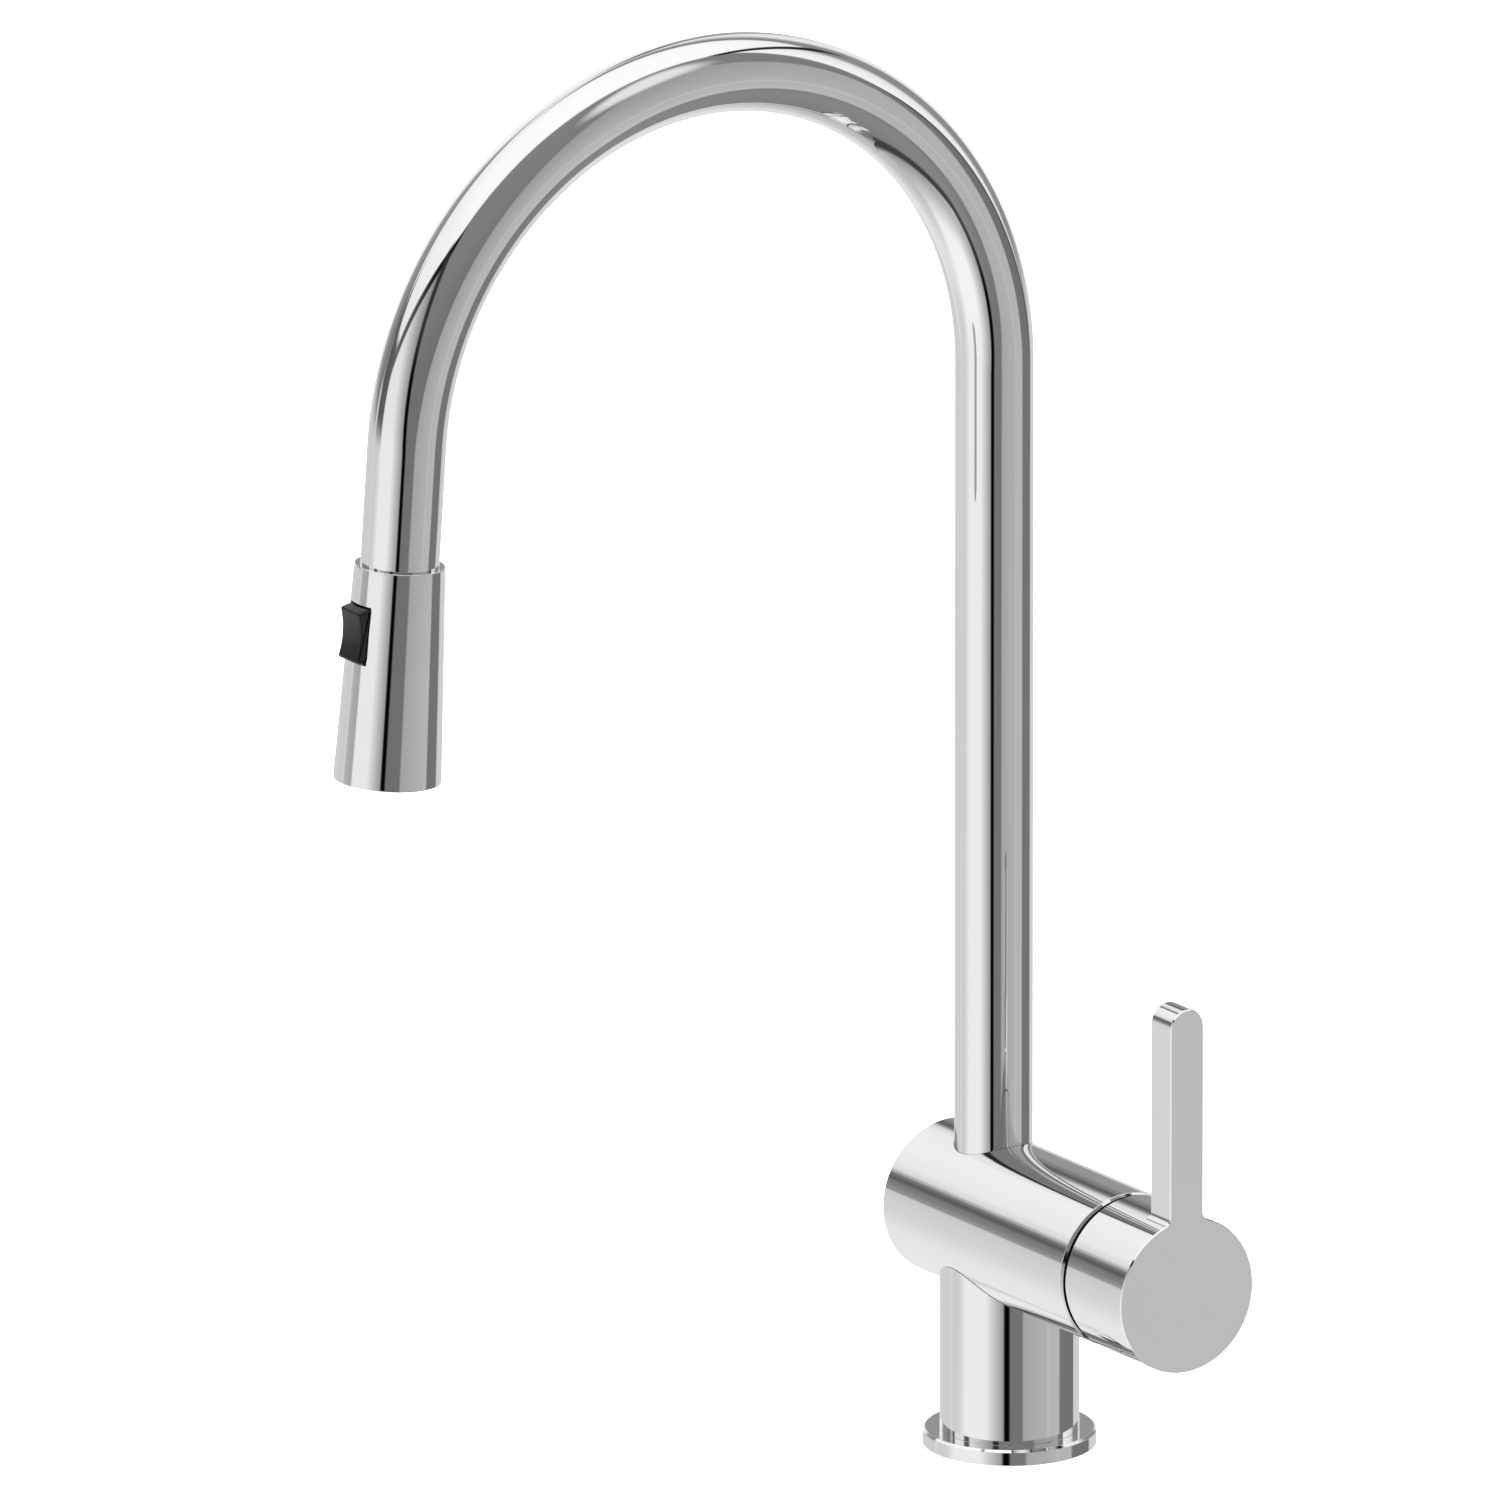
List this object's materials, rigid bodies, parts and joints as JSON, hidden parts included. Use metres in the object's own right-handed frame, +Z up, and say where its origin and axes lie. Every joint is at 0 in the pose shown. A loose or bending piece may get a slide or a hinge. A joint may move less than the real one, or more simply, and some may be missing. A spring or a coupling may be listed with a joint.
{
  "type": "pull-down kitchen faucet",
  "caption": "Deck-mounted single-lever kitchen faucet with a high arched swivel spout and a pull-down spray head with a spray selector.",
  "frame": {"origin": "centre of the deck hole, on the deck's surface", "axes": "+Z up, the spout reaches towards -Y, the lever is on the +X side"},
  "size_m": [0.1352, 0.2752, 0.59],
  "materials": {
    "chrome": "polished",
    "brass": "machined",
    "steel": "satin",
    "rubber": "matte",
    "black_plastic": "satin",
    "grey_plastic": "satin",
    "white_plastic": "satin",
    "ceramic": "polished alumina",
    "hose_braid": "woven nylon over rubber"
  },
  "bodies": {
    "base": {"base_flange": "chrome", "base_gasket": "rubber", "base_column": "chrome", "column_manifold": "brass", "mounting_shank": "brass", "deck_rubber_washer": "rubber", "deck_steel_washer": "steel", "mounting_nut": "brass", "clamp_screw_front": "steel", "clamp_screw_rear": "steel", "cold_inlet_tail": "brass", "hot_inlet_tail": "brass", "outlet_tail": "brass", "barrel_shell": "chrome", "cartridge_seat": "brass", "cartridge_base": "black_plastic", "fixed_disc": "ceramic", "cartridge_housing": "white_plastic", "retaining_nut": "brass", "cover_ring": "black_plastic", "spout_socket": "brass", "spout_seal_lower": "rubber", "spout_seal_upper": "rubber"},
    "rotor": {"cartridge_rotor": "grey_plastic", "stem_pin": "steel"},
    "disc": {"moving_disc": "ceramic"},
    "lever": {"handle": "chrome", "cartridge_stem": "steel", "handle_set_screw": "steel", "handle_plug": "grey_plastic"},
    "spout": {"spout_tube": "chrome", "spout_glide_ring": "white_plastic", "docking_sleeve": "black_plastic", "docking_magnet": "steel", "pull_hose": "hose_braid", "hose_coupling": "brass"},
    "hose_end": {"hose_ferrule": "steel", "hose_nut": "brass"},
    "spray_head": {"head_shell": "chrome", "docking_collar": "black_plastic", "strike_ring": "steel", "head_core": "grey_plastic", "check_valve": "white_plastic", "rocker_pin": "steel", "flow_diffuser": "grey_plastic", "nozzle_mat": "rubber", "spray_plate": "grey_plastic", "face_ring": "grey_plastic", "aerator_housing": "grey_plastic", "aerator_insert": "white_plastic", "aerator_screen": "steel"},
    "rocker": {"rocker_button": "black_plastic"},
    "spool": {"diverter_spool": "white_plastic"}
  },
  "joints": [
    {"name": "spout_swivel", "type": "hinge", "parent": "base", "child": "spout", "pos_m": [-0.0093, 0, 0.08], "axis": [0, 0, 1], "range_deg": [-60, 60]},
    {"name": "head_pull", "type": "slide", "parent": "spout", "child": "hose_end", "axis": [0, -0.0698, -0.9976], "range_m": [0, 0.2], "stiffness_N_per_m": 2, "springref_m": -3, "deforming": ["pull_hose"]},
    {"name": "head_twist", "type": "hinge", "parent": "hose_end", "child": "spray_head", "pos_m": [-0.0093, -0.2254, 0.32416], "axis": [0, 0.0698, 0.9976], "continuous": true},
    {"name": "spray_rocker", "type": "hinge", "parent": "spray_head", "child": "rocker", "pos_m": [-0.0093, -0.23746, 0.30365], "axis": [1, 0, 0], "range_deg": [-5.4, 0]},
    {"name": "spool_slide", "type": "slide", "parent": "spray_head", "child": "spool", "axis": [0, 0.0698, 0.9976], "range_m": [-0.0005, 0]},
    {"name": "lever_temperature", "type": "hinge", "parent": "base", "child": "rotor", "pos_m": [0, 0, 0.0733], "axis": [1, 0, 0], "range_deg": [-45, 45]},
    {"name": "lever_lift", "type": "hinge", "parent": "rotor", "child": "lever", "pos_m": [0.05, 0, 0.0733], "axis": [0, 1, 0], "range_deg": [0, 7]},
    {"name": "disc_slide", "type": "slide", "parent": "rotor", "child": "disc", "axis": [0, 0, 1], "range_m": [0, 0.0021]}
  ],
  "couplings": [
    {"joint": "spool_slide", "follows": "spray_rocker", "m_per_rad": 0.0043},
    {"joint": "disc_slide", "follows": "lever_lift", "m_per_rad": 0.0165}
  ]
}
